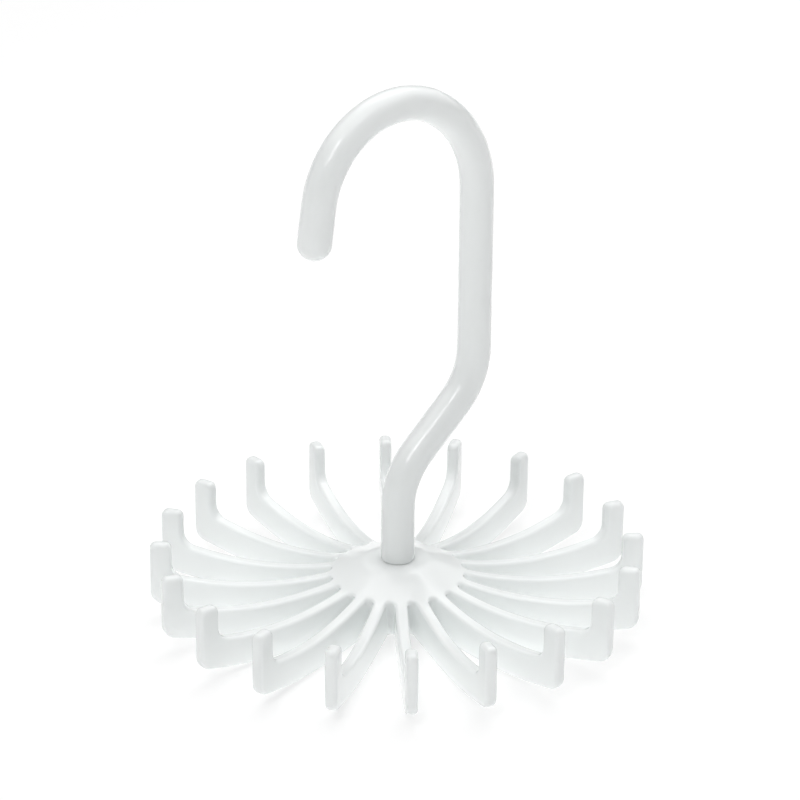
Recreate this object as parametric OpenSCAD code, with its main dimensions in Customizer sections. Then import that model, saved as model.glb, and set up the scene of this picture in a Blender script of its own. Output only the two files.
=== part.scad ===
// Tie hanger: a rod hook with a ribbed claw wheel that turns freely under it.
// Millimetres, +Z up. The origin is on the wheel's axis, on the plane that the
// lowest faces of the ribs stand on. The hook lies in the XZ plane, with its
// straight side at +X and its free end at -X.

/* [Claw wheel] */
// Number of ribs, one tie between each two
rib_count = 20; // [16:1:22]
// Radius over the outer faces of the fingers
wheel_r = 65; // [62:0.5:70]
// Rib thickness where it leaves the hub
rib_t_in = 3.3; // [2.6:0.1:4]
// Rib thickness at the finger
rib_t_out = 3.2; // [2.4:0.1:3.6]
// Height of the finger tips above the standing plane
tip_z = 21; // [19:0.5:24]
// Radial thickness of a finger
finger_t = 5.6; // [4:0.1:6]
// Lowest height of the ribs' sagging top edge
sag_z = 8.6; // [8:0.1:10]
// Radius from the axis at which the top edge is lowest
sag_r = 38; // [34:0.5:40]
// Radius of curvature of the sagging top edge
sag_curve = 80; // [70:1:100]
// Fillet between a rib's top edge and its finger
finger_fillet = 4; // [2.5:0.1:5]
// Rounding of a finger's tip
tip_round = 1.5; // [0.8:0.1:2]
// Radius to which the ribs' underside is flat
flat_r = 30; // [26:0.5:34]
// Radius of curvature of the underside beyond the flat
under_curve = 150; // [130:1:200]
// Rounding of the outer lower corner of a rib
heel_round = 3.6; // [2.5:0.1:4.5]
// Rounding of a finger's two outer upright edges
edge_round = 1; // [0.3:0.1:1.3]

/* [Hub] */
// Height of the hub's top face, which the hook's shoulder faces
hub_top = 15.2; // [14.5:0.1:16.5]
// Radius of the hub's wall at the standing plane
hub_r_low = 14.6; // [14:0.1:15.5]
// Radius of the hub's wall under its dome
hub_r_high = 16.8; // [16:0.1:17]
// Steepest slope of the hub's dome, in degrees
dome_slope = 21; // [19:0.5:24]
// Radius of the dome's convex shoulder
dome_round = 12; // [9:0.5:14]
// Radius of the hollow sweep from the dome into the ribs
dome_sweep = 16; // [12:0.5:18]
// Radius of the cored-out recess under the hub
recess_r = 12; // [11.5:0.1:12.2]
// Outer radius of the bearing boss in the recess
boss_r = 6.4; // [5.8:0.1:6.6]
// Height of the boss's lower face above the standing plane
boss_z = 5; // [4.8:0.1:5.5]
// Number of stiffening webs between the boss and the hub's wall
web_count = 5; // [4:1:5]
// Thickness of a stiffening web
web_t = 1.4; // [1:0.1:1.8]

/* [Hook] */
// Diameter of the hook's rod
rod_d = 8.8; // [8.4:0.1:9.2]
// Height at which the shank begins to bend
bend_z = 30.4; // [26:0.1:34]
// Centre-line radius of the two bends of the S
bend_r = 18.3; // [15:0.1:22]
// Angle of each of the two bends
bend_a = 49; // [44:1:56]
// How far the straight side stands off the wheel's axis
side_x = 25.2; // [22:0.1:28]
// Height at which the arch begins on the straight side
arch_z = 113.4; // [108:0.1:118]
// Centre-line radius of the first part of the arch
arch_1_r = 28.5; // [26:0.1:29]
// Angle of the first part of the arch
arch_1_a = 55.5; // [50:0.5:62]
// Centre-line radius of the rest of the arch
arch_2_r = 24.7; // [23:0.1:26]
// Angle of the rest of the arch
arch_2_a = 116.5; // [108:0.5:120]
// Straight length before the rounded free end
end_len = 9.4; // [4:0.1:12]

/* [Swivel] */
// Diameter of the journal on the hook's lower end
journal_d = 6.6; // [6:0.1:7]
// Clearance between the journal and the hub's bore, on the radius
run_gap = 0.06; // [0.03:0.01:0.1]
// Gap above and below the hub, along the axis
end_gap = 0.15; // [0.1:0.05:0.25]
// Washer's outer diameter
washer_d = 12; // [11:0.5:12]
// Washer's thickness
washer_t = 1; // [0.8:0.1:1.2]
// Washer's hole diameter
washer_hole_d = 3.9; // [3.8:0.1:4.2]
// Outside diameter of the screw's shank
screw_d = 3.5; // [3.2:0.1:3.6]
// Length of the screw under its head
screw_len = 12; // [10:0.5:14]
// Diameter of the screw's head
head_d = 6.8; // [6:0.1:7.5]
// Height of the screw's head
head_h = 2.4; // [2:0.1:2.6]
// Length of each arm of the drive recess, tip to tip
drive_l = 3.8; // [3:0.1:4.2]
// Width of each arm of the drive recess
drive_w = 0.9; // [0.7:0.1:1.1]
// Depth of the drive recess
drive_h = 1.4; // [1:0.1:1.6]

/* [Hidden] */
$fn = 96;
white = [0.90, 0.92, 0.91];
steel = [0.72, 0.73, 0.74];

// points on an arc: centre, radius, first and last angle, number of steps
function arc(c, r, a0, a1, n) =
    [for (i = [0:n]) let (a = a0 + (a1 - a0)*i/n) [c[0] + r*cos(a), c[1] + r*sin(a)]];
// the same arc without its first point
function arc1(c, r, a0, a1, n) =
    [for (i = [1:n]) let (a = a0 + (a1 - a0)*i/n) [c[0] + r*cos(a), c[1] + r*sin(a)]];

// sagging top edge, shared by the ribs and the hub's dome
sag_c = [sag_r, sag_z + sag_curve];
join_r = 20;
join_a = asin((sag_r - join_r)/sag_curve);
sweep_c = [join_r + dome_sweep*sin(join_a),
           sag_c[1] - (sag_curve - dome_sweep)*cos(join_a)];
cone_low = [sweep_c[0] - dome_sweep*sin(dome_slope),
            sweep_c[1] - dome_sweep*cos(dome_slope)];
cone_top_z = hub_top - dome_round*(1 - cos(dome_slope));
cone_top_r = cone_low[0] - (cone_top_z - cone_low[1])/tan(dome_slope);
flat_top_r = cone_top_r - dome_round*sin(dome_slope);

// finger and its fillet
finger_in = wheel_r - finger_t;
fillet_c = [finger_in - finger_fillet,
            sag_c[1] - sqrt(pow(sag_curve - finger_fillet, 2)
                            - pow(finger_in - finger_fillet - sag_r, 2))];
fillet_a = asin((finger_in - finger_fillet - sag_r)/(sag_curve - finger_fillet));

// rising underside and its rounded heel
under_s = (wheel_r - flat_r - heel_round)/(under_curve - heel_round);
under_a = asin(under_s);
heel_z = under_curve - (under_curve - heel_round)*cos(under_a);

rib_start = recess_r + 1;   // the ribs start inside the hub's wall
lap = 0.6;       // how far a straight rod is let into a bend
slim = 0.04;     // how much slimmer it is, so that each joint is a clean step
short_l = 0.6;   // length of the short straight between the arch's two parts

// outline of the hub's dome, from the axis outwards
dome_line = concat(
    [[0, hub_top]],
    arc([flat_top_r, hub_top - dome_round], dome_round, 90, 90 - dome_slope, 4),
    [cone_low]);

// side view of one rib and its finger, counter-clockwise from the lower inner corner
rib_side = concat(
    [[rib_start, 0], [flat_r, 0]],
    arc1([flat_r, under_curve], under_curve, -90, -90 + under_a, 5),
    arc1([wheel_r - heel_round, heel_z], heel_round, -90 + under_a, 0, 5),
    arc([wheel_r - tip_round, tip_z - tip_round], tip_round, 0, 90, 4),
    arc([finger_in + tip_round, tip_z - tip_round], tip_round, 90, 180, 4),
    arc(fillet_c, finger_fillet, 0, -90 + fillet_a, 5),
    arc1(sag_c, sag_curve, -90 + fillet_a, -90 - join_a, 8),
    arc1(sweep_c, dome_sweep, 270 - join_a, 270 - dome_slope, 3),
    [[rib_start, cone_low[1] + (cone_low[0] - rib_start)*tan(dome_slope)]]);

shoulder_z = hub_top + end_gap;
journal_z = boss_z - end_gap;
washer_z = journal_z - washer_t;
head_z = washer_z - head_h;
bore_r = journal_d/2 + run_gap;

// plan view of one rib: it thins outwards, and the finger's outer edges are rounded
module rib_plan() {
    e = edge_round;
    union() {
        polygon([[rib_start - 1, -rib_t_in/2], [wheel_r - e, -rib_t_out/2],
                 [wheel_r - e, rib_t_out/2], [rib_start - 1, rib_t_in/2]]);
        translate([wheel_r - e, rib_t_out/2 - e]) circle(r = e, $fn = 32);
        translate([wheel_r - e, -rib_t_out/2 + e]) circle(r = e, $fn = 32);
        translate([wheel_r - e - 0.2, -rib_t_out/2 + e]) square([e + 0.2, rib_t_out - 2*e]);
    }
}

module rib() {
    intersection() {
        rotate([90, 0, 0]) linear_extrude(height = 6, center = true) polygon(rib_side);
        translate([0, 0, -1]) linear_extrude(height = tip_z + 2) rib_plan();
    }
}

// solid of revolution of the hub, with its boss and its cored-out recess
module hub() {
    difference() {
        rotate_extrude() polygon(concat(
            [[0, 0], [hub_r_low, 0], [hub_r_high, cone_low[1] - 2],
             [hub_r_high + 0.5, cone_low[1] - 0.7]],
            [for (i = [len(dome_line) - 1:-1:0]) dome_line[i]]));
        // open recess below the boss
        translate([0, 0, -1]) cylinder(r = recess_r, h = boss_z + 1);
        // annular coring round the boss, its roof follows the dome
        rotate_extrude() polygon([[boss_r, boss_z - 1], [recess_r, boss_z - 1],
            [recess_r, 9.2], [boss_r, 11.2]]);
        // bearing bore
        translate([0, 0, boss_z - 1]) cylinder(r = bore_r, h = hub_top - boss_z + 2);
    }
    // stiffening webs
    for (i = [0:web_count - 1]) rotate([0, 0, 360*i/web_count + 9])
        translate([boss_r - 0.3, -web_t/2, boss_z + 1]) cube([recess_r - boss_r + 0.6, web_t, 5.4]);
}

module claw_wheel() {
    color(white) union() {
        hub();
        for (i = [0:rib_count - 1]) rotate([0, 0, 360*i/rib_count]) rib();
    }
}

// end of a rod bend in the XZ plane: start point, heading in degrees, radius, turn (positive is to the left)
function bend_end(p, h, r, a) = let (s = sign(a))
    [p[0] - s*r*sin(h) + s*r*sin(h + a), p[1] + s*r*cos(h) - s*r*cos(h + a)];
function run_end(p, h, l) = [p[0] + l*cos(h), p[1] + l*sin(h)];

module bend(p, h, r, a) {
    s = sign(a);
    translate([p[0] - s*r*sin(h), 0, p[1] + s*r*cos(h)]) rotate([90, 0, 0])
        rotate([0, 0, s > 0 ? h - 90 : h + 90 + a])
            rotate_extrude(angle = abs(a)) translate([r, 0]) circle(d = rod_d);
}

// straight rod between two bends: it is let into both by lap, and is a hair slimmer
module run(p, h, l) {
    translate([p[0] - lap*cos(h), 0, p[1] - lap*sin(h)]) rotate([0, 90 - h, 0])
        cylinder(d = rod_d - slim, h = l + 2*lap);
}

// straight rod with a rounded end
module run_out(p, h, l) {
    r = (rod_d - slim)/2;
    translate([p[0] - lap*cos(h), 0, p[1] - lap*sin(h)]) rotate([0, 90 - h, 0])
        rotate_extrude() union() {
            square([r, l + lap]);
            intersection() {
                translate([0, l + lap]) circle(r = r);
                square([r, l + lap + r]);
            }
        }
}

// the centre line: up, over to the straight side, upright again, round the arch, down to the free end
p1 = [0, bend_z];
p2 = bend_end(p1, 90, bend_r, -bend_a);
slant_l = (side_x - 2*bend_r*(1 - cos(bend_a)))/sin(bend_a);   // straight between the two bends
p3 = run_end(p2, 90 - bend_a, slant_l);
p4 = bend_end(p3, 90 - bend_a, bend_r, bend_a);
p5 = [p4[0], arch_z];
p6 = bend_end(p5, 90, arch_1_r, arch_1_a);
p7 = run_end(p6, 90 + arch_1_a, short_l);
p8 = bend_end(p7, 90 + arch_1_a, arch_2_r, arch_2_a);

module hook() {
    color(white) difference() {
        union() {
            // shank with its shoulder, and the journal that runs in the hub's bore
            translate([0, 0, shoulder_z]) cylinder(d = rod_d - slim, h = bend_z + lap - shoulder_z);
            translate([0, 0, journal_z]) cylinder(d = journal_d, h = shoulder_z - journal_z + 1);
            bend(p1, 90, bend_r, -bend_a);
            run(p2, 90 - bend_a, slant_l);
            bend(p3, 90 - bend_a, bend_r, bend_a);
            run(p4, 90, arch_z - p4[1]);
            bend(p5, 90, arch_1_r, arch_1_a);
            run(p6, 90 + arch_1_a, short_l);
            bend(p7, 90 + arch_1_a, arch_2_r, arch_2_a);
            run_out(p8, 90 + arch_1_a + arch_2_a, end_len);
        }
        // blind hole for the screw
        translate([0, 0, journal_z - 1]) cylinder(d = screw_d, h = screw_len - washer_t + 2);
    }
}

module washer() {
    color(steel) translate([0, 0, washer_z]) difference() {
        cylinder(d = washer_d, h = washer_t);
        translate([0, 0, -1]) cylinder(d = washer_hole_d, h = washer_t + 2);
    }
}

// pan-head self-tapping screw with a cross drive
module screw() {
    color(steel) difference() {
        union() {
            translate([0, 0, head_z]) intersection() {
                cylinder(d = head_d, h = head_h);
                translate([0, 0, 5.2]) sphere(r = 5.6);
            }
            translate([0, 0, washer_z - 0.5]) cylinder(d = screw_d, h = screw_len - 1.5);
            translate([0, 0, washer_z + screw_len - 2]) cylinder(d1 = screw_d, d2 = 0.8, h = 2);
        }
        for (a = [0, 90]) rotate([0, 0, a])
            translate([-drive_l/2, -drive_w/2, head_z - 1]) cube([drive_l, drive_w, drive_h + 1]);
    }
}

hook();
claw_wheel();
washer();
screw();
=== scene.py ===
import math

import bpy
import numpy as np
from mathutils import Matrix, Vector


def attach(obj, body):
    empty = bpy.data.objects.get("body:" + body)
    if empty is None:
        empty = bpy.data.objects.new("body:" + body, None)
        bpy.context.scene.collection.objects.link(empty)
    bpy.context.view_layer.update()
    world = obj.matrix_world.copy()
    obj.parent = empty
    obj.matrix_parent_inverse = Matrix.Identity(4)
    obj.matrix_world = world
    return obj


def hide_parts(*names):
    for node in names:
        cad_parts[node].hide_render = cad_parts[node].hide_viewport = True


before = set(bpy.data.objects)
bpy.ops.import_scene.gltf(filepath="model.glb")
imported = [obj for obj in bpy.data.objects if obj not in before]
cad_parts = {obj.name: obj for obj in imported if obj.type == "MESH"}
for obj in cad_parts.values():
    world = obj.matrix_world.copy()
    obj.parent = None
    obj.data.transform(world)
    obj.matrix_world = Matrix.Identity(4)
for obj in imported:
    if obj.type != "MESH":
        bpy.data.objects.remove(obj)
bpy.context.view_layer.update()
MM = 0.001
scene = bpy.context.scene

# ----------------------------------------------------------------------------------------------
# dimensions of the object, in millimetres, the same as the frame's
# ----------------------------------------------------------------------------------------------
RIBS = 20
WHEEL_R = 65.0
FINGER_IN = 59.4
TIP_Z = 21.0
HUB_TOP = 15.2
BORE_R = 3.36
BOSS_R, BOSS_Z = 6.4, 5.0
RECESS_R = 12.0
ROD_R = 4.4
SHOULDER_Z = 15.35
JOURNAL_Z = 4.85
JOURNAL_R = 3.3
HOLE_R = 1.75
HOLE_TOP = 16.85
SECTOR = 2 * math.pi / RIBS


def smooth(a, b, x):
    t = np.clip((x - a) / (b - a), 0, 1)
    return t * t * (3 - 2 * t)


def new_mesh(name, verts, faces, normals=None):
    """A smooth-shaded mesh object from vertices in millimetres."""
    me = bpy.data.meshes.new(name)
    v = np.asarray(verts, float) * MM
    faces = [np.asarray(f, np.int64) for f in faces if len(f)]
    n_loops = sum(f.size for f in faces)
    n_polys = sum(len(f) for f in faces)
    me.vertices.add(len(v))
    me.vertices.foreach_set("co", v.astype(np.float32).ravel())
    me.loops.add(n_loops)
    me.loops.foreach_set("vertex_index", np.concatenate([f.ravel() for f in faces]).astype(np.int32))
    me.polygons.add(n_polys)
    sizes = np.concatenate([np.full(len(f), f.shape[1]) for f in faces])
    starts = np.concatenate([[0], np.cumsum(sizes)[:-1]])
    me.polygons.foreach_set("loop_start", starts.astype(np.int32))
    me.polygons.foreach_set("use_smooth", np.ones(n_polys, bool))
    me.update(calc_edges=True)
    me.validate(verbose=False)
    if normals is not None and len(me.vertices) == len(v):
        me.normals_split_custom_set_from_vertices(np.asarray(normals, np.float32).tolist())
    ob = bpy.data.objects.new(name, me)
    scene.collection.objects.link(ob)
    return ob


# ----------------------------------------------------------------------------------------------
# claw wheel: one moulding, meshed from a signed distance field whose edges are all rounded
# ----------------------------------------------------------------------------------------------
def wheel_outline():
    """The closed section through a rib and the hub (radius, height), counter-clockwise, as lines and arcs
    that meet tangentially. Lines are ("L", p, q); arcs are ("A", centre, radius, first angle, last angle)."""
    sag_c, sag_curve = (38.0, 88.6), 80.0
    join_a = math.degrees(math.asin((38.0 - 20.0) / sag_curve))
    sweep, dome, slope = 16.0, 12.0, 21.0
    sn, cs = math.sin(math.radians(slope)), math.cos(math.radians(slope))
    ja = math.radians(join_a)
    sweep_c = (20.0 + sweep * math.sin(ja), sag_c[1] - (sag_curve - sweep) * math.cos(ja))
    cone_low = (sweep_c[0] - sweep * sn, sweep_c[1] - sweep * cs)
    cone_top_z = HUB_TOP - dome * (1 - cs)
    cone_top_r = cone_low[0] - (cone_top_z - cone_low[1]) / math.tan(math.radians(slope))
    flat_r = cone_top_r - dome * sn
    fil = 4.0
    fil_c = (FINGER_IN - fil, sag_c[1] - math.sqrt((sag_curve - fil) ** 2 - (FINGER_IN - fil - 38.0) ** 2))
    fil_a = math.degrees(math.asin((FINGER_IN - fil - 38.0) / (sag_curve - fil)))
    under_a = math.degrees(math.asin((WHEEL_R - 30.0 - 3.6) / (150.0 - 3.6)))
    heel_z = 150.0 - (150.0 - 3.6) * math.cos(math.radians(under_a))
    tip = 1.6
    rim, lip, edge, boss = 0.5, 0.3, 0.25, 0.4
    # roof of the coring, with its two fillets
    roof_a = math.degrees(math.atan2(9.2 - 11.2, RECESS_R - BOSS_R))
    f1, f2 = 0.8, 1.1
    # fillet in the corner between the boss wall (going up) and the roof (going outwards and down)
    tn = math.tan(math.radians(roof_a))
    c1x = BOSS_R + f1
    c1z = (11.2 + tn * (c1x - BOSS_R)) - f1 / math.cos(math.radians(roof_a))
    c2x = RECESS_R - f2
    c2z = (11.2 + tn * (c2x - BOSS_R)) - f2 / math.cos(math.radians(roof_a))
    top_a = 90 + roof_a
    t1 = (c1x + f1 * math.cos(math.radians(top_a)), c1z + f1 * math.sin(math.radians(top_a)))
    t2 = (c2x + f2 * math.cos(math.radians(top_a)), c2z + f2 * math.sin(math.radians(top_a)))
    return [
        ("L", (RECESS_R + rim, 0.0), (30.0, 0.0)),
        ("A", (30.0, 150.0), 150.0, -90.0, -90.0 + under_a),
        ("A", (WHEEL_R - 3.6, heel_z), 3.6, -90.0 + under_a, 0.0),
        ("L", (WHEEL_R, heel_z), (WHEEL_R, TIP_Z - tip)),
        ("A", (WHEEL_R - tip, TIP_Z - tip), tip, 0.0, 90.0),
        ("L", (WHEEL_R - tip, TIP_Z), (FINGER_IN + tip, TIP_Z)),
        ("A", (FINGER_IN + tip, TIP_Z - tip), tip, 90.0, 180.0),
        ("L", (FINGER_IN, TIP_Z - tip), (FINGER_IN, fil_c[1])),
        ("A", fil_c, fil, 0.0, -90.0 + fil_a),
        ("A", sag_c, sag_curve, -90.0 + fil_a, -90.0 - join_a),
        ("A", sweep_c, sweep, -90.0 - join_a, -90.0 - slope),
        ("L", cone_low, (cone_top_r, cone_top_z)),
        ("A", (flat_r, HUB_TOP - dome), dome, 90.0 - slope, 90.0),
        ("L", (flat_r, HUB_TOP), (BORE_R + lip, HUB_TOP)),
        ("A", (BORE_R + lip, HUB_TOP - lip), lip, 90.0, 180.0),
        ("L", (BORE_R, HUB_TOP - lip), (BORE_R, BOSS_Z + edge)),
        ("A", (BORE_R + edge, BOSS_Z + edge), edge, 180.0, 270.0),
        ("L", (BORE_R + edge, BOSS_Z), (BOSS_R - boss, BOSS_Z)),
        ("A", (BOSS_R - boss, BOSS_Z + boss), boss, -90.0, 0.0),
        ("L", (BOSS_R, BOSS_Z + boss), (BOSS_R, c1z)),
        ("A", (c1x, c1z), f1, 180.0, top_a),
        ("L", t1, t2),
        ("A", (c2x, c2z), f2, top_a, 0.0),
        ("L", (RECESS_R, c2z), (RECESS_R, rim)),
        ("A", (RECESS_R + rim, rim), rim, 180.0, 270.0),
    ]


OUTLINE = wheel_outline()


def outline_distance(r, z):
    """Signed distance to the section, negative inside."""
    best = np.full(r.shape, 1e9)
    out = np.full(r.shape, 1e9)
    for prim in OUTLINE:
        if prim[0] == "L":
            (px, pz), (qx, qz) = prim[1:]
            dx, dz = qx - px, qz - pz
            length = math.hypot(dx, dz)
            dx, dz = dx / length, dz / length
            t = (r - px) * dx + (z - pz) * dz
            side = dx * (z - pz) - dz * (r - px)
            on = (t >= -1e-6) & (t <= length + 1e-6)
            d, sd = np.abs(side), -side
        else:
            (cx, cz), rad, a0, a1 = prim[1:]
            vx, vz = r - cx, z - cz
            rho = np.hypot(vx, vz)
            ang = np.degrees(np.arctan2(vz, vx))
            mid, half = (a0 + a1) / 2, abs(a1 - a0) / 2
            da = (ang - mid + 180) % 360 - 180
            on = np.abs(da) <= half + 1e-5
            sd = (rho - rad) if a1 > a0 else (rad - rho)
            d = np.abs(sd)
        take = on & (d < best)
        best = np.where(take, d, best)
        out = np.where(take, sd, out)
    return out


def rib_half(r):
    return 1.65 - 0.05 * np.clip((r - 12.0) / 53.0, 0, 1)


def hub_wall(z):
    return 14.6 + 0.2365 * z + 0.55 * smooth(8.6, 11.6, z)


def plan_distance(r, al, z):
    """Distance to the plan shape: the hub's wall and the ribs, with a fillet in every upright corner.
    al is the angle from the nearest rib's middle."""
    h = rib_half(r)
    fil = 1.0
    d1 = r * np.sin(np.abs(al)) - h
    d2 = r * np.sin(SECTOR - np.abs(al)) - h
    d3 = (r - hub_wall(z)) * 0.973
    u1 = np.maximum(fil - d1, 0)
    u2 = np.maximum(fil - d2, 0)
    u3 = np.maximum(fil - d3, 0)
    return np.maximum(fil, np.minimum(np.minimum(d1, d2), d3)) - np.sqrt(u1 * u1 + u2 * u2 + u3 * u3)


def web_distance(r, ang, z):
    """Distance to the five upright webs between the boss and the hub's wall."""
    w = (ang - math.radians(9.0) + math.pi / 5) % (2 * math.pi / 5) - math.pi / 5
    x, y = r * np.cos(w), np.abs(r * np.sin(w))
    e = 0.3
    qx = np.abs(x - 9.2) - (3.2 - e)
    qy = y - (0.7 - 0.02 * (z - 8.5) * 0 - e)
    qz = np.abs(z - 8.9) - (2.9 - e)
    return (np.sqrt(np.maximum(qx, 0) ** 2 + np.maximum(qy, 0) ** 2 + np.maximum(qz, 0) ** 2)
            + np.minimum(np.maximum(qx, np.maximum(qy, qz)), 0) - e)


def wheel_distance(p):
    """Signed distance to the moulding at points (n, 3)."""
    x, y, z = p[..., 0], p[..., 1], p[..., 2]
    r = np.hypot(x, y)
    ang = np.arctan2(y, x)
    al = ang - np.round(ang / SECTOR) * SECTOR
    v = outline_distance(r, z)
    pl = plan_distance(r, al, z)
    rr = 0.85 + 0.15 * smooth(52.0, 58.0, r) + 0.2 * smooth(18.5, 20.5, z)
    w1, w2 = pl + rr, v + rr
    d = (np.minimum(np.maximum(w1, w2), 0)
         + np.sqrt(np.maximum(w1, 0) ** 2 + np.maximum(w2, 0) ** 2) - rr)
    near = (r > 5.0) & (r < 13.5)
    if near.any():
        k = 0.5
        w = web_distance(r[near], ang[near], z[near])
        a = d[near]
        ua, uw = np.maximum(k - a, 0), np.maximum(k - w, 0)
        d[near] = np.maximum(k, np.minimum(a, w)) - np.sqrt(ua * ua + uw * uw)
    return d


def wheel_grid():
    """Grid lines that follow the ribs: radii, fractions across a sector, and heights that follow the
    rib's lower and upper edges."""
    u = [3.15, 3.45, 3.85, 4.5, 5.3, 5.9, 6.22, 6.55, 6.9, 7.6, 8.6, 9.6, 10.3, 10.9, 11.3, 11.75, 12.15, 12.5, 13.0,
         13.7, 14.4, 14.9, 15.35, 15.8, 16.2, 16.6, 17.0, 17.4, 17.8, 18.3, 19.0, 20.0, 21.2, 22.6]
    u += list(np.linspace(24.3, 54.2, 18))
    u += [55.2, 55.9, 56.5, 57.05, 57.55, 58.0, 58.45, 58.85, 59.13, 59.32, 59.48, 59.66, 59.9, 60.25, 60.7, 61.3,
          62.2, 63.1, 63.6, 63.98, 64.27, 64.5, 64.68, 64.86, 65.07]
    u = np.array(u)
    # lower edge followed by the lines
    zb = np.where(u < 30, 0.0, 150 - np.sqrt(np.maximum(150.0 ** 2 - (u - 30) ** 2, 1)))
    zb = zb + 1.4 * np.clip((u - 62.6) / 2.4, 0, 1.1) ** 2
    # upper edge followed by the lines, on the outline by a bisection of the section's own distance
    lo, hi = np.full(u.shape, 8.3), np.full(u.shape, 17.0)
    inside_u = np.clip(u, BORE_R + 0.5, 55.8)
    for _ in range(40):
        m = (lo + hi) / 2
        neg = outline_distance(inside_u, m) < 0
        # between the rib's middle and the air over it
        lo = np.where(neg | (m < 8.4), m, lo)
        hi = np.where(neg | (m < 8.4), hi, m)
    zt = (lo + hi) / 2
    ramp = smooth(55.7, 59.4, u)
    zt = zt * (1 - ramp) + TIP_Z * ramp
    low = np.array([-0.42, -0.1, 0.12, 0.32, 0.56, 0.86, 1.25, 1.85])
    high = np.array([-1.9, -1.4, -1.0, -0.7, -0.44, -0.24, -0.09, 0.11, 0.42])
    n_mid = 9
    tip = smooth(58.6, 59.6, u)
    high_tip = np.array([-2.6, -1.9, -1.4, -1.0, -0.66, -0.4, -0.17, 0.12, 0.42])
    # under the hub the middle lines follow the lower edges of the boss and webs, and the coring's roof
    edge = 5.0 + 1.0 * smooth(6.3, 6.9, u)
    roof = np.clip(11.2 - 2.0 * (u - BOSS_R) / (RECESS_R - BOSS_R), 9.2, 11.2)
    zl = []
    for i in range(len(u)):
        b, t = zb[i], zt[i]
        top = t + high * (1 - tip[i]) + high_tip * tip[i]
        mid = np.linspace(b + low[-1], top[0], n_mid + 2)[1:-1]
        w, r = edge[i], roof[i]
        hub = np.array([w - 0.3, w - 0.03, w + 0.25, w + 0.6, w + 1.3, r - 1.0, r - 0.45, r - 0.05, r + 0.35])
        hub[4] = (hub[3] + hub[5]) / 2
        k = smooth(12.9, 13.9, u[i])
        mid = hub * (1 - k) + mid * k
        zl.append(np.concatenate([b + low, mid, top]))
    zl = np.array(zl)
    # across a sector: (line, radius) -> angle from the rib's middle
    frac = np.array([0.24, 0.5, 0.67, 0.82, 0.94, 1.07])
    h = rib_half(u)
    edge_y = u * np.sin(SECTOR / 2)
    inner = frac[None, :] * h[:, None]
    squeeze = np.minimum(1.0, 0.84 * edge_y / inner[:, -1])
    inner = inner * squeeze[:, None]
    gap = edge_y - inner[:, -1]
    outer = inner[:, -1:] + gap[:, None] * np.array([1 / 2])[None, :]
    pos = np.concatenate([inner, outer], axis=1)
    a = np.arcsin(pos / u[:, None])
    cols = np.concatenate([np.full((len(u), 1), -SECTOR / 2), -a[:, ::-1], a], axis=1)
    return u, zl, cols


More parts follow.
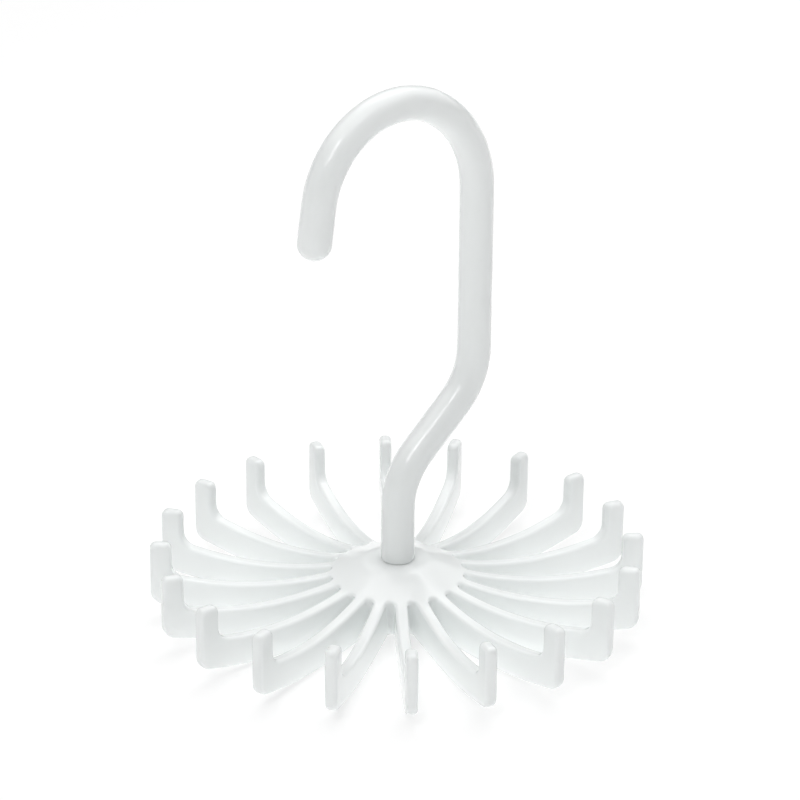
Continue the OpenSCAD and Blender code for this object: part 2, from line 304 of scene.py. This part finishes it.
def wheel_mesh():
    u, zl, cols = wheel_grid()
    nu, nz, nc = len(u), zl.shape[1], cols.shape[1]
    unit = 4                                    # sectors in the unit that repeats five times
    cols4 = np.concatenate([cols + k * SECTOR for k in range(unit)] + [cols[:, :1] + unit * SECTOR], axis=1)
    nv = cols4.shape[1] - 1
    ang = cols4
    X = u[:, None] * np.cos(ang)
    Y = u[:, None] * np.sin(ang)
    pts = np.empty((nu, nv + 1, nz, 3))
    pts[..., 0] = X[:, :, None]
    pts[..., 1] = Y[:, :, None]
    pts[..., 2] = zl[:, None, :]
    f = wheel_distance(pts.reshape(-1, 3)).reshape(nu, nv + 1, nz)
    f[:, nv] = f[:, 0]
    inside = f < 0
    # one vertex in each cell that the surface passes through, at the mean of its edge crossings
    cell = np.zeros((nu - 1, nv, nz - 1), int)
    for a in (0, 1):
        for b in (0, 1):
            for c in (0, 1):
                cell += inside[a:nu - 1 + a, b:nv + b, c:nz - 1 + c]
    active = (cell > 0) & (cell < 8)
    total = np.zeros(cell.shape + (3,))
    count = np.zeros(cell.shape)
    for axis in range(3):
        for o1 in (0, 1):
            for o2 in (0, 1):
                off = [o1, o2]
                off.insert(axis, 0)
                s0 = tuple(slice(off[i], off[i] + n) for i, n in enumerate((nu - 1, nv, nz - 1)))
                off[axis] = 1
                s1 = tuple(slice(off[i], off[i] + n) for i, n in enumerate((nu - 1, nv, nz - 1)))
                f0, f1 = f[s0], f[s1]
                cut = (f0 < 0) != (f1 < 0)
                t = np.where(cut, f0 / np.where(cut, f0 - f1, 1), 0)
                total += np.where(cut[..., None], pts[s0] + t[..., None] * (pts[s1] - pts[s0]), 0)
                count += cut
    verts = total[active] / count[active][:, None]
    idx = np.full(cell.shape, -1)
    idx[active] = np.arange(len(verts))
    # onto the surface itself
    e = 0.01

    def gradient(q):
        g = np.empty_like(q)
        for i in range(3):
            d = np.zeros(3)
            d[i] = e
            g[:, i] = (wheel_distance(q + d) - wheel_distance(q - d)) / (2 * e)
        return g

    for _ in range(3):
        g = gradient(verts)
        val = wheel_distance(verts)
        n2 = np.maximum((g * g).sum(1), 0.05)
        step = np.clip(val / n2, -0.5, 0.5)
        verts = verts - step[:, None] * g
    normals = gradient(verts)
    normals /= np.linalg.norm(normals, axis=1)[:, None]
    # the whole ring
    n_unit = len(verts)
    turns = RIBS // unit
    allv, alln = [], []
    for k in range(turns):
        a = k * unit * SECTOR
        m = np.array([[math.cos(a), -math.sin(a), 0], [math.sin(a), math.cos(a), 0], [0, 0, 1]])
        allv.append(verts @ m.T)
        alln.append(normals @ m.T)
    ring = np.concatenate([np.where(idx >= 0, idx + k * n_unit, -1) for k in range(turns)], axis=1)
    sign = np.concatenate([inside[:, :nv]] * turns, axis=1)
    prev = np.roll(ring, 1, axis=1)
    quads = []

    def add(cut, flip, a, b, c, d):
        q = np.stack([a, b, c, d], axis=-1)[cut]
        fl = flip[cut]
        q[fl] = q[fl][:, ::-1]
        ok = (q >= 0).all(axis=1)
        quads.append(q[ok])

    # edges along the radius, between u and u+1, at line v and height z
    s0, s1 = sign[:-1, :, 1:-1], sign[1:, :, 1:-1]
    add(s0 != s1, ~s0, prev[:, :, :-1], ring[:, :, :-1], ring[:, :, 1:], prev[:, :, 1:])
    # edges across the sector, between line v and v+1
    nxt = np.roll(sign, -1, axis=1)
    s0, s1 = sign[1:-1, :, 1:-1], nxt[1:-1, :, 1:-1]
    add(s0 != s1, ~s0, ring[:-1, :, :-1], ring[:-1, :, 1:], ring[1:, :, 1:], ring[1:, :, :-1])
    # upright edges
    s0, s1 = sign[1:-1, :, :-1], sign[1:-1, :, 1:]
    add(s0 != s1, ~s0, prev[:-1], prev[1:], ring[1:], ring[:-1])
    return np.concatenate(allv), np.concatenate(quads), np.concatenate(alln)


wv, wq, wn = wheel_mesh()
wheel = new_mesh("claw_wheel_moulding", wv, [wq], wn)


# ----------------------------------------------------------------------------------------------
# hook: one rod swept along its centre line, with the journal it turns on
# ----------------------------------------------------------------------------------------------
def hook_line():
    """Centre line of the rod from the hub's top to the end of its last straight, as (s, x, z, heading)."""
    bend_r, bend_a, side_x, bend_z = 18.3, math.radians(49), 25.2, 30.4
    slant = (side_x - 2 * bend_r * (1 - math.cos(bend_a))) / math.sin(bend_a)
    side_z = bend_z + 2 * bend_r * math.sin(bend_a) + slant * math.cos(bend_a)
    runs = [(bend_z - SHOULDER_Z, 0.0),
            (bend_a * bend_r, -1 / bend_r), (slant, 0.0), (bend_a * bend_r, 1 / bend_r),
            (113.4 - side_z, 0.0),
            (math.radians(55.5) * 28.5, 1 / 28.5), (0.6, 0.0), (math.radians(116.5) * 24.7, 1 / 24.7),
            (9.4, 0.0)]
    step = 0.05
    total = sum(r[0] for r in runs)
    n = int(round(total / step))
    s = np.linspace(0, total, n + 1)
    k = np.zeros(n + 1)
    at = 0.0
    for length, curve in runs:
        k[(s >= at) & (s < at + length)] = curve
        at += length
    # the curvature changes over a few millimetres, as it does on a moulded rod
    sigma = 1.3
    w = np.exp(-0.5 * (np.arange(-120, 121) * (s[1] - s[0]) / sigma) ** 2)
    w /= w.sum()
    k = np.convolve(np.pad(k, 120, mode="edge"), w, mode="valid")
    ds = s[1] - s[0]
    head = math.pi / 2 + np.concatenate([[0], np.cumsum((k[1:] + k[:-1]) / 2 * ds)])
    cx, cz = np.cos(head), np.sin(head)
    x = np.concatenate([[0], np.cumsum((cx[1:] + cx[:-1]) / 2 * ds)])
    z = SHOULDER_Z + np.concatenate([[0], np.cumsum((cz[1:] + cz[:-1]) / 2 * ds)])
    return s, x, z, head, k


def hook_mesh():
    s, x, z, head, k = hook_line()
    sides = 72
    phi = np.arange(sides) * 2 * math.pi / sides
    rings, normals = [], []

    def ring(cx, cz, heading, rad, slope=0.0, seam=1.0):
        # across the rod: n lies in the hook's plane, the other direction is y
        nx, nz = -math.sin(heading), math.cos(heading)
        # a fine parting line along the rod, in the hook's own plane
        c = np.abs(np.cos(phi))
        rr = rad + seam * 0.035 * np.exp(-((1 - c) / 0.0012)) if seam else np.full(sides, rad)
        px = cx + nx * np.cos(phi) * rr
        pz = cz + nz * np.cos(phi) * rr
        py = np.sin(phi) * rr
        rings.append(np.stack([px, py, pz], 1))
        tx, tz = math.cos(heading), math.sin(heading)
        n = np.stack([nx * np.cos(phi) - slope * tx, np.sin(phi), nz * np.cos(phi) - slope * tz], 1)
        normals.append(n / np.linalg.norm(n, axis=1)[:, None])

    # blind hole, from its closed end down, then the journal's end, its wall and the shoulder
    profile = [(0.35, HOLE_TOP), (HOLE_R - 0.25, HOLE_TOP), (HOLE_R, HOLE_TOP - 0.25), (HOLE_R, 13.0), (HOLE_R, 9.0),
               (HOLE_R, JOURNAL_Z + 0.3), (HOLE_R + 0.3, JOURNAL_Z), (JOURNAL_R - 0.3, JOURNAL_Z),
               (JOURNAL_R, JOURNAL_Z + 0.3), (JOURNAL_R, 8.0), (JOURNAL_R, 12.0), (JOURNAL_R, SHOULDER_Z - 0.12),
               (JOURNAL_R + 0.05, SHOULDER_Z - 0.03), (JOURNAL_R + 0.15, SHOULDER_Z)]
    base = 0.25
    profile += [(ROD_R - base, SHOULDER_Z)]
    profile += [(ROD_R - base + base * math.sin(a), SHOULDER_Z + base - base * math.cos(a))
                for a in np.linspace(0, math.pi / 2, 7)[1:]]
    for rad, zz in profile:
        ring(0.0, zz, math.pi / 2, rad, seam=0)
    first = len(rings)
    # stations along the rod, closer where it bends
    want = [0.9]
    while want[-1] < s[-1] - 0.3:
        kk = abs(np.interp(want[-1], s, k))
        want.append(want[-1] + (0.85 if kk > 0.004 else 1.4))
    want = [w for w in want if w < s[-1] - 0.5] + [s[-1]]
    for w in want:
        cx, cz, hd = np.interp(w, s, x), np.interp(w, s, z), np.interp(w, s, head)
        # the rod of a moulding isn't quite even
        rad = ROD_R + 0.018 * math.sin(w * 0.21 + 0.7) * math.sin(w * 0.083 + 2.0)
        ring(cx, cz, hd, rad, seam=min(1.0, (w - 0.5) / 3.0))
    # rounded free end
    cx, cz, hd = x[-1], z[-1], head[-1]
    last_r = ROD_R
    for a in np.linspace(0, math.pi / 2, 15)[1:-1]:
        ring(cx + last_r * math.sin(a) * math.cos(hd), cz + last_r * math.sin(a) * math.sin(hd), hd,
             last_r * math.cos(a), slope=-math.tan(a) if a < 1.5 else -14.0, seam=max(0.0, 1 - a))
    verts = np.concatenate(rings)
    n_r = len(rings)
    i = np.arange(sides)
    j = (i + 1) % sides
    quads = []
    for q in range(n_r - 1):
        a, b = q * sides, (q + 1) * sides
        # the order of the corners turns the faces outwards
        quads.append(np.stack([a + i, b + i, b + j, a + j], 1))
    quads = np.concatenate(quads)
    # close both ends
    c0 = np.array([[0.0, 0.0, HOLE_TOP + 0.05]])
    c1 = np.array([[cx + last_r * math.cos(hd), 0.0, cz + last_r * math.sin(hd)]])
    n_v = len(verts)
    verts = np.concatenate([verts, c0, c1])
    t0 = np.stack([np.full(sides, n_v), i, j], 1)
    b = (n_r - 1) * sides
    t1 = np.stack([b + j, b + i, np.full(sides, n_v + 1)], 1)
    return verts, quads, np.concatenate([t0, t1])


hv, hq, ht = hook_mesh()
hook = new_mesh("hook_moulding", hv, [hq, ht])


# ----------------------------------------------------------------------------------------------
# washer and screw under the hub
# ----------------------------------------------------------------------------------------------
def turned(profile, sides, closed=False):
    """Rings of a turned shape: profile is a list of (radius, height) from inside to outside."""
    th = np.arange(sides) * 2 * math.pi / sides
    prof = np.asarray(profile, float)
    verts = np.stack([prof[:, :1] * np.cos(th), prof[:, :1] * np.sin(th), np.repeat(prof[:, 1:2], sides, 1)], -1)
    n = len(prof)
    i = np.arange(sides)
    j = (i + 1) % sides
    quads = []
    for q in range(n if closed else n - 1):
        a, b = q * sides, ((q + 1) % n) * sides
        quads.append(np.stack([a + i, a + j, b + j, b + i], 1))
    return verts.reshape(-1, 3), np.concatenate(quads)


def corner(c, rad, a0, a1, n=5):
    return [(c[0] + rad * math.cos(math.radians(a)), c[1] + rad * math.sin(math.radians(a)))
            for a in np.linspace(a0, a1, n)]


WASHER_R, WASHER_HOLE, WASHER_LOW, WASHER_HIGH = 6.0, 1.95, 3.85, 4.85


def washer_mesh():
    # a stamped washer: rounded where the punch went in, sharp with a slight burr where it came out
    lo, hi = WASHER_LOW, WASHER_HIGH
    roll, crisp = 0.24, 0.06
    prof = corner((WASHER_R - roll, lo + roll), roll, -90, 0, 7)
    prof += [(WASHER_R - 0.012, lo + 0.5), (WASHER_R - 0.03, lo + 0.74)]
    prof += corner((WASHER_R - crisp, hi - crisp), crisp, 0, 90, 4)
    prof += [(r, hi) for r in (5.2, 4.4, 3.6, 2.9, 2.3)]
    prof += corner((WASHER_HOLE + crisp, hi - crisp), crisp, 90, 180, 4)
    prof += [(WASHER_HOLE + 0.012, lo + 0.6)]
    prof += corner((WASHER_HOLE + 0.14, lo + 0.14), 0.14, 180, 270, 5)
    prof += [(r, lo) for r in (2.3, 2.9, 3.6, 4.4, 5.2)]
    return turned(prof, 144, closed=True)


def screw_mesh():
    """A self-tapping screw with a pan head: the head with its tapered cross recess, the neck and the thread."""
    lo, under = 1.45, WASHER_LOW
    sides = 240
    # head, from the middle of its face outwards, as a polar net that the recess is sunk into
    flat, dome_r, dome_c = 2.08, 5.6, 6.65
    rad = list(np.linspace(0.06, 2.2, 40)) + [2.3, 2.45, 2.62, 2.8, 2.95]
    face = [(r, lo if r < flat else dome_c - math.sqrt(dome_r ** 2 - r * r)) for r in rad]
    rim = 0.34
    z_rim = dome_c - math.sqrt(dome_r ** 2 - (3.4 - rim) ** 2)
    tilt = math.degrees(math.asin((3.4 - rim) / dome_r)) * 0.72
    face += corner((3.4 - rim, z_rim + rim), rim, -90 + tilt, 0, 7)
    face += [(3.4, 2.9), (3.4, 3.4)]
    face += corner((3.4 - 0.12, under - 0.12), 0.12, 0, 90, 4)
    face += [(2.6, under), (1.75, under)]
    v, q = turned(face, sides)
    v = v.reshape(len(face), sides, 3)
    x, y = np.abs(v[..., 0]), np.abs(v[..., 1])
    # cross recess: two arms of 3.8 x 0.9, the walls lean in by a few degrees, the floor is a shallow cone
    arm = np.maximum(np.maximum(x, y) - 1.9, np.minimum(x, y) - 0.45)
    core = np.hypot(x, y) - 0.95
    d = np.minimum(arm, core)
    wall = np.clip((0.03 - d) / 0.12, 0, 1)
    wall = wall * wall * (3 - 2 * wall)
    depth = 1.35 - 0.42 * np.clip(np.maximum(x, y) / 1.9, 0, 1) ** 2
    is_face = np.arange(len(face))[:, None] < 45
    v[..., 2] += np.where(is_face, wall * depth, 0)
    n_head = len(face) * sides
    verts, quads = [v.reshape(-1, 3)], [q]
    centre = np.array([[0.0, 0.0, lo + 1.35]])
    # neck, thread and point as one tube of rings
    turns, tube_sides = 1.35, 60
    th = np.arange(tube_sides) * 2 * math.pi / tube_sides
    z_axis = np.concatenate([[under, under + 0.12, under + 0.35], np.arange(under + 0.6, 15.62, 0.085), [15.7, 15.78]])
    z = np.repeat(z_axis[:, None], tube_sides, 1)
    phase = ((z - 4.4) / turns - th / (2 * math.pi)) % 1.0
    crest = np.exp(-((phase - 0.5) / 0.17) ** 2)
    grow = smooth(4.5, 5.8, z)
    point = np.clip((15.85 - z) / 2.6, 0, 1) ** 0.75
    core_r = 1.26 * np.minimum(1, point + 0.02)
    height = 0.47 * grow * np.clip((15.9 - z) / 2.0, 0, 1)
    rr = core_r + height * crest
    rr = np.where(z < 4.6, 1.32 + 0.3 * np.exp(-(z - under) / 0.12), rr)
    rr = np.minimum(rr, 1.735)
    tube = np.stack([rr * np.cos(th), rr * np.sin(th), z], -1)
    n_t = len(z_axis)
    i = np.arange(tube_sides)
    j = (i + 1) % tube_sides
    tq = np.concatenate([np.stack([a * tube_sides + i, a * tube_sides + j, (a + 1) * tube_sides + j,
                                   (a + 1) * tube_sides + i], 1) for a in range(n_t - 1)])
    verts += [tube.reshape(-1, 3), centre, np.array([[0.0, 0.0, 15.85]]), np.array([[0.0, 0.0, under + 0.05]])]
    quads += [tq + n_head]
    n0 = n_head + n_t * tube_sides
    ii = np.arange(sides)
    jj = (ii + 1) % sides
    tri = [np.stack([np.full(sides, n0), jj, ii], 1),
           np.stack([n_head + (n_t - 1) * tube_sides + i, n_head + (n_t - 1) * tube_sides + j,
                     np.full(tube_sides, n0 + 1)], 1)]
    # the head's underside is closed inside the neck, and so is the neck inside the head
    last = (len(face) - 1) * sides
    tri.append(np.stack([last + ii, last + jj, np.full(sides, n0 + 2)], 1))
    tri.append(np.stack([np.full(tube_sides, n0 + 2), n_head + j, n_head + i], 1))
    return np.concatenate(verts), np.concatenate(quads), np.concatenate(tri)


wsv, wsq = washer_mesh()
washer = new_mesh("washer_stamped", wsv, [wsq])
sv, sq, st = screw_mesh()
screw = new_mesh("screw_pan_head", sv, [sq, st])


# ----------------------------------------------------------------------------------------------
# materials, all procedural
# ----------------------------------------------------------------------------------------------
class Nodes:
    """A small helper to build a node tree."""

    def __init__(self, name):
        self.mat = bpy.data.materials.new(name)
        self.mat.use_nodes = True
        self.tree = self.mat.node_tree
        self.bsdf = self.tree.nodes["Principled BSDF"]
        self.coord = self.add("ShaderNodeTexCoord").outputs["Object"]

    def add(self, kind, **values):
        n = self.tree.nodes.new(kind)
        for key, val in values.items():
            setattr(n, key, val)
        return n

    def link(self, a, b):
        self.tree.links.new(a, b)

    def noise(self, scale, detail=2.0, rough=0.5, stretch=None, offset=None):
        n = self.add("ShaderNodeTexNoise")
        n.inputs["Scale"].default_value = scale
        n.inputs["Detail"].default_value = detail
        n.inputs["Roughness"].default_value = rough
        src = self.coord
        if stretch or offset:
            m = self.add("ShaderNodeMapping")
            m.inputs["Scale"].default_value = stretch or (1, 1, 1)
            m.inputs["Location"].default_value = offset or (0, 0, 0)
            self.link(src, m.inputs["Vector"])
            src = m.outputs["Vector"]
        self.link(src, n.inputs["Vector"])
        return n.outputs["Fac"]

    def span(self, src, a, b, c, d, kind="LINEAR"):
        """src between a and b becomes c to d."""
        n = self.add("ShaderNodeMapRange")
        n.interpolation_type = kind
        n.inputs["From Min"].default_value = a
        n.inputs["From Max"].default_value = b
        n.inputs["To Min"].default_value = c
        n.inputs["To Max"].default_value = d
        self.link(src, n.inputs["Value"])
        return n.outputs["Result"]

    def math(self, op, a, b=None):
        n = self.add("ShaderNodeMath", operation=op)
        for k, v in enumerate((a, b)):
            if v is None:
                continue
            if isinstance(v, (int, float)):
                n.inputs[k].default_value = v
            else:
                self.link(v, n.inputs[k])
        return n.outputs[0]

    def mix(self, fac, a, b, blend="MIX"):
        n = self.add("ShaderNodeMix", data_type="RGBA", blend_type=blend)
        ins = [i for i in n.inputs if i.type == "RGBA"]
        if isinstance(fac, (int, float)):
            n.inputs[0].default_value = fac
        else:
            self.link(fac, n.inputs[0])
        for sock, v in zip(ins, (a, b)):
            if isinstance(v, tuple):
                sock.default_value = (*v, 1)
            else:
                self.link(v, sock)
        return [o for o in n.outputs if o.type == "RGBA"][0]

    def bump(self, height, distance, strength, prev=None):
        n = self.add("ShaderNodeBump")
        n.inputs["Strength"].default_value = strength
        n.inputs["Distance"].default_value = distance
        self.link(height, n.inputs["Height"])
        if prev is not None:
            self.link(prev, n.inputs["Normal"])
        return n.outputs["Normal"]


def moulded_plastic(name, seed, light, deep, rough):
    """Gloss white moulded plastic that lets a little light in: flow marks, a faint ripple, fine dust."""
    m = Nodes(name)
    off = (seed, seed * 0.7, -seed * 0.4)
    flow = m.noise(38.0, 3.0, 0.45, offset=off)
    cloud = m.noise(210.0, 2.0, 0.5, offset=off)
    fine = m.noise(2600.0, 2.0, 0.6, offset=off)
    tone = m.math("ADD", m.math("MULTIPLY", flow, 0.7), m.math("MULTIPLY", cloud, 0.3))
    base = m.mix(m.span(tone, 0.34, 0.66, 0.0, 1.0), deep, light)
    # specks of dust and the odd grain of unmelted pigment
    speck = m.add("ShaderNodeTexVoronoi", feature="F1", voronoi_dimensions="3D")
    speck.inputs["Scale"].default_value = 330.0
    m.link(m.coord, speck.inputs["Vector"])
    dot = m.span(speck.outputs["Distance"], 0.05, 0.085, 1.0, 0.0)
    dot = m.math("MULTIPLY", dot, m.span(m.noise(90.0, 1.0, 0.5, offset=off), 0.56, 0.64, 0.0, 0.06))
    base = m.mix(dot, base, (0.52, 0.53, 0.50))
    m.link(base, m.bsdf.inputs["Base Color"])
    r = m.math("ADD", m.span(cloud, 0.3, 0.7, rough - 0.012, rough + 0.012),
               m.span(fine, 0.3, 0.7, -0.012, 0.012))
    m.link(r, m.bsdf.inputs["Roughness"])
    ripple = m.noise(95.0, 1.0, 0.4, offset=off)
    n1 = m.bump(ripple, 0.00018, 0.10)
    n2 = m.bump(fine, 0.00001, 0.08, n1)
    m.link(n2, m.bsdf.inputs["Normal"])
    m.bsdf.subsurface_method = "BURLEY"
    b = m.bsdf.inputs
    b["IOR"].default_value = 1.49
    b["Subsurface Weight"].default_value = 0.6
    b["Subsurface Radius"].default_value = (1.0, 1.0, 1.0)
    b["Subsurface Scale"].default_value = 0.005
    return m.mat


def zinc_steel(name, seed, ring_scale, rough):
    """Zinc-plated steel: cloudy passivation, turning rings, fine scratches."""
    m = Nodes(name)
    off = (seed, -seed, seed * 0.3)
    cloud = m.noise(420.0, 4.0, 0.55, offset=off)
    spangle = m.add("ShaderNodeTexVoronoi", feature="F1", voronoi_dimensions="3D")
    spangle.inputs["Scale"].default_value = 1500.0
    m.link(m.coord, spangle.inputs["Vector"])
    tint = m.mix(m.span(cloud, 0.35, 0.65, 0.0, 1.0), (0.60, 0.60, 0.585), (0.70, 0.715, 0.73))
    spot = m.span(m.noise(900.0, 2.0, 0.5, offset=off), 0.6, 0.72, 0.0, 0.35)
    tint = m.mix(spot, tint, (0.52, 0.505, 0.47))
    m.link(tint, m.bsdf.inputs["Base Color"])
    sep = m.add("ShaderNodeSeparateXYZ")
    m.link(m.coord, sep.inputs[0])
    x, y = sep.outputs[0], sep.outputs[1]
    radius = m.math("SQRT", m.math("ADD", m.math("MULTIPLY", x, x), m.math("MULTIPLY", y, y)))
    rings = m.math("SINE", m.math("MULTIPLY", radius, ring_scale))
    rings = m.math("MULTIPLY", rings, m.span(cloud, 0.3, 0.7, 0.2, 1.0))
    r = m.math("ADD", m.span(cloud, 0.3, 0.7, rough - 0.06, rough + 0.08),
               m.span(spangle.outputs["Distance"], 0.0, 0.7, -0.03, 0.05))
    m.link(r, m.bsdf.inputs["Roughness"])
    scratch = m.noise(160.0, 3.0, 0.6, stretch=(14.0, 1.0, 1.0), offset=off)
    h = m.math("ADD", m.math("MULTIPLY", rings, 0.35), m.math("ADD", m.math("MULTIPLY", scratch, 0.5), cloud))
    m.link(m.bump(h, 0.00002, 0.35), m.bsdf.inputs["Normal"])
    m.bsdf.inputs["Metallic"].default_value = 1.0
    return m.mat


def paper(name):
    m = Nodes(name)
    c = m.mix(m.span(m.noise(3.0, 2.0, 0.5), 0.35, 0.65, 0.0, 1.0), (0.545, 0.545, 0.545), (0.555, 0.555, 0.555))
    m.link(c, m.bsdf.inputs["Base Color"])
    m.link(m.span(m.noise(40.0, 2.0, 0.5), 0.3, 0.7, 0.86, 0.94), m.bsdf.inputs["Roughness"])
    m.bsdf.inputs["Specular IOR Level"].default_value = 0.1
    # a translucent sheet that is lit from behind too, like the top of a light table
    m.bsdf.inputs["Emission Color"].default_value = (1, 1, 1, 1)
    # the glow makes up for the lamps' fall-off far from the object
    sep = m.add("ShaderNodeSeparateXYZ")
    m.link(m.coord, sep.inputs[0])
    x, y = sep.outputs[0], sep.outputs[1]
    far = m.math("SQRT", m.math("ADD", m.math("MULTIPLY", x, x), m.math("MULTIPLY", y, y)))
    m.link(m.span(far, 0.6, 2.2, 0.49, 0.94, "SMOOTHSTEP"), m.bsdf.inputs["Emission Strength"])
    m.mat.cycles.emission_sampling = "NONE"
    return m.mat


LIGHT, DEEP = (0.938, 0.962, 0.958), (0.931, 0.956, 0.951)
wheel.data.materials.append(moulded_plastic("wheel_plastic", 3.1, LIGHT, DEEP, 0.15))
hook.data.materials.append(moulded_plastic("hook_plastic", 11.7, LIGHT, DEEP, 0.10))
washer.data.materials.append(zinc_steel("washer_steel", 5.3, 42000.0, 0.30))
screw.data.materials.append(zinc_steel("screw_steel", 8.9, 36000.0, 0.24))
for ob, body, node, slot in ((wheel, "wheel", "claw_wheel", "wheel_plastic"), (hook, "hook_side", "hook", "hook_plastic"),
                             (washer, "hook_side", "washer", "washer_steel"),
                             (screw, "hook_side", "screw", "screw_steel")):
    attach(ob, body)
    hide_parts(node)

# ----------------------------------------------------------------------------------------------
# floor, light and camera
# ----------------------------------------------------------------------------------------------
bpy.ops.mesh.primitive_plane_add(size=6, location=(0, 0, -0.0002))
floor = bpy.context.object
floor.name = "floor"
floor.data.materials.append(paper("floor_paper"))

psi = math.radians(39.41)
elev = math.radians(24.42)
DIST, TX, TZ = 877.19, 0.28, 60.89


def to_row(px, py):
    return (px * math.cos(-psi) - py * math.sin(-psi), px * math.sin(-psi) + py * math.cos(-psi))


cam_xy = to_row(TX, -DIST * math.cos(elev))
aim_xy = to_row(TX, 0.0)
cam_at = Vector((cam_xy[0], cam_xy[1], TZ + DIST * math.sin(elev))) * MM
aim_at = Vector((aim_xy[0], aim_xy[1], TZ)) * MM
fw = (aim_at - cam_at).normalized()
right = fw.cross(Vector((0, 0, 1))).normalized()
up = right.cross(fw)
roll = math.radians(-0.5)
# the image turns by roll, so the camera turns the other way
r2 = right * math.cos(-roll) + up * math.sin(-roll)
u2 = -right * math.sin(-roll) + up * math.cos(-roll)
cam_data = bpy.data.cameras.new("camera")
cam_data.sensor_width = 36
cam_data.lens = 3400.86 / 800 * 36
cam_data.clip_start, cam_data.clip_end = 0.05, 20
cam = bpy.data.objects.new("camera", cam_data)
cam.matrix_world = Matrix(((r2.x, u2.x, -fw.x, cam_at.x), (r2.y, u2.y, -fw.y, cam_at.y),
                           (r2.z, u2.z, -fw.z, cam_at.z), (0, 0, 0, 1)))
scene.collection.objects.link(cam)
scene.camera = cam

world = bpy.data.worlds.new("studio")
world.use_nodes = True
world.node_tree.nodes["Background"].inputs["Color"].default_value = (1, 1, 1, 1)
world.node_tree.nodes["Background"].inputs["Strength"].default_value = 0.1
# the room behind the sheet is as white as the sheet, and lights the object less
wn, wl = world.node_tree.nodes, world.node_tree.links
behind = wn.new("ShaderNodeBackground")
behind.inputs["Color"].default_value = (1, 1, 1, 1)
behind.inputs["Strength"].default_value = 0.97
either = wn.new("ShaderNodeMixShader")
wl.new(wn.new("ShaderNodeLightPath").outputs["Is Camera Ray"], either.inputs[0])
wl.new(wn["Background"].outputs[0], either.inputs[1])
wl.new(behind.outputs[0], either.inputs[2])
wl.new(either.outputs[0], wn["World Output"].inputs["Surface"])
scene.world = world

toward = Vector((-fw.x, -fw.y, 0)).normalized()
side = Vector((right.x, right.y, 0)).normalized()


def softbox(name, az, el, dist, width, height, level):
    """A soft rectangular light aimed at the object. az is measured on the floor from the camera's side,
    towards the right of the picture."""
    a, e = math.radians(az), math.radians(el)
    v = (toward * math.cos(a) + side * math.sin(a)) * math.cos(e) + Vector((0, 0, 1)) * math.sin(e)
    data = bpy.data.lights.new(name, "AREA")
    data.shape = "RECTANGLE"
    data.size, data.size_y = width, height
    data.energy = level * width * height * math.pi
    ob = bpy.data.objects.new(name, data)
    ob.location = Vector((0, 0, 0.045)) + v * dist
    ob.rotation_euler = v.to_track_quat("Z", "Y").to_euler()
    scene.collection.objects.link(ob)


softbox("overhead", 0, 90, 1.4, 2.0, 2.0, 1.4)
softbox("key", -25, 46, 1.1, 0.40, 0.42, 4.5)
softbox("back_right", 140, 35, 1.3, 1.0, 1.0, 1.0)
softbox("back_top", 180, 55, 1.3, 1.0, 1.0, 1.0)
scene.view_settings.view_transform = "Standard"
